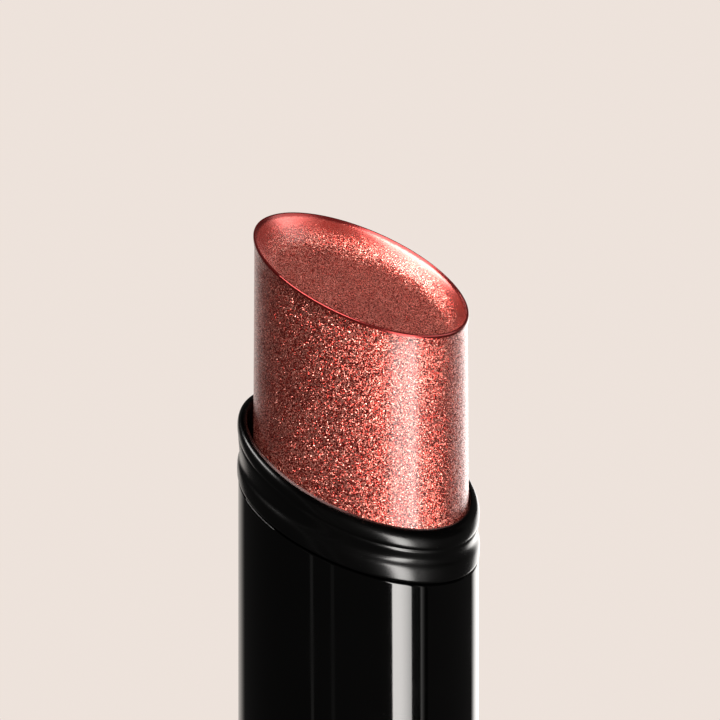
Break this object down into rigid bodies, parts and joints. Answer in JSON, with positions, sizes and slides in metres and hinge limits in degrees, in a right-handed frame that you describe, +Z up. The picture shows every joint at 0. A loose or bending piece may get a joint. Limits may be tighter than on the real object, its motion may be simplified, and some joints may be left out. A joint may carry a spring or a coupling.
{
  "type": "lipstick case",
  "caption": "Slim open swivel lipstick: glossy round base and barrel with a slanted, beaded mouth, and a dished, slanted wax stick that winds up and down.",
  "frame": {"origin": "centre of the base's foot, on the surface that the case stands on", "axes": "+Z up along the case's axis, out of the mouth; -Y towards the low side of the slanted mouth; +X to the right when the low side is seen from the front"},
  "size_m": [0.017, 0.017, 0.0691],
  "materials": {
    "black_lacquer": "glossy black lacquer on drawn aluminium",
    "gloss_black_plastic": "polished",
    "label_paper": "blank, satin",
    "plated_steel": "zinc plated",
    "grey_plastic": "moulded",
    "white_plastic": "moulded acetal",
    "silicone": "soft, matte",
    "cup_plastic": "moulded",
    "glitter_wax": "deep red wax with fine metallic glitter"
  },
  "bodies": {
    "base": {"base_shell": "black_lacquer", "shade_label": "label_paper", "base_weight": "plated_steel", "base_liner": "grey_plastic", "spiral_sleeve": "white_plastic", "brake_ring": "silicone", "top_ring": "gloss_black_plastic"},
    "barrel": {"guide_tube": "white_plastic", "barrel_shell": "black_lacquer", "mouth_collar": "gloss_black_plastic"},
    "carrier": {"cup": "cup_plastic", "lipstick_bullet": "glitter_wax"}
  },
  "joints": [
    {"name": "twist", "type": "hinge", "parent": "base", "child": "barrel", "pos_m": [0, 0, 0.033], "axis": [0, 0, 1], "range_deg": [-270, 247.5]},
    {"name": "lift", "type": "slide", "parent": "barrel", "child": "carrier", "axis": [0, 0, 1], "range_m": [-0.012, 0.011]}
  ],
  "couplings": [
    {"joint": "twist", "follows": "lift", "rad_per_m": 392.69}
  ]
}
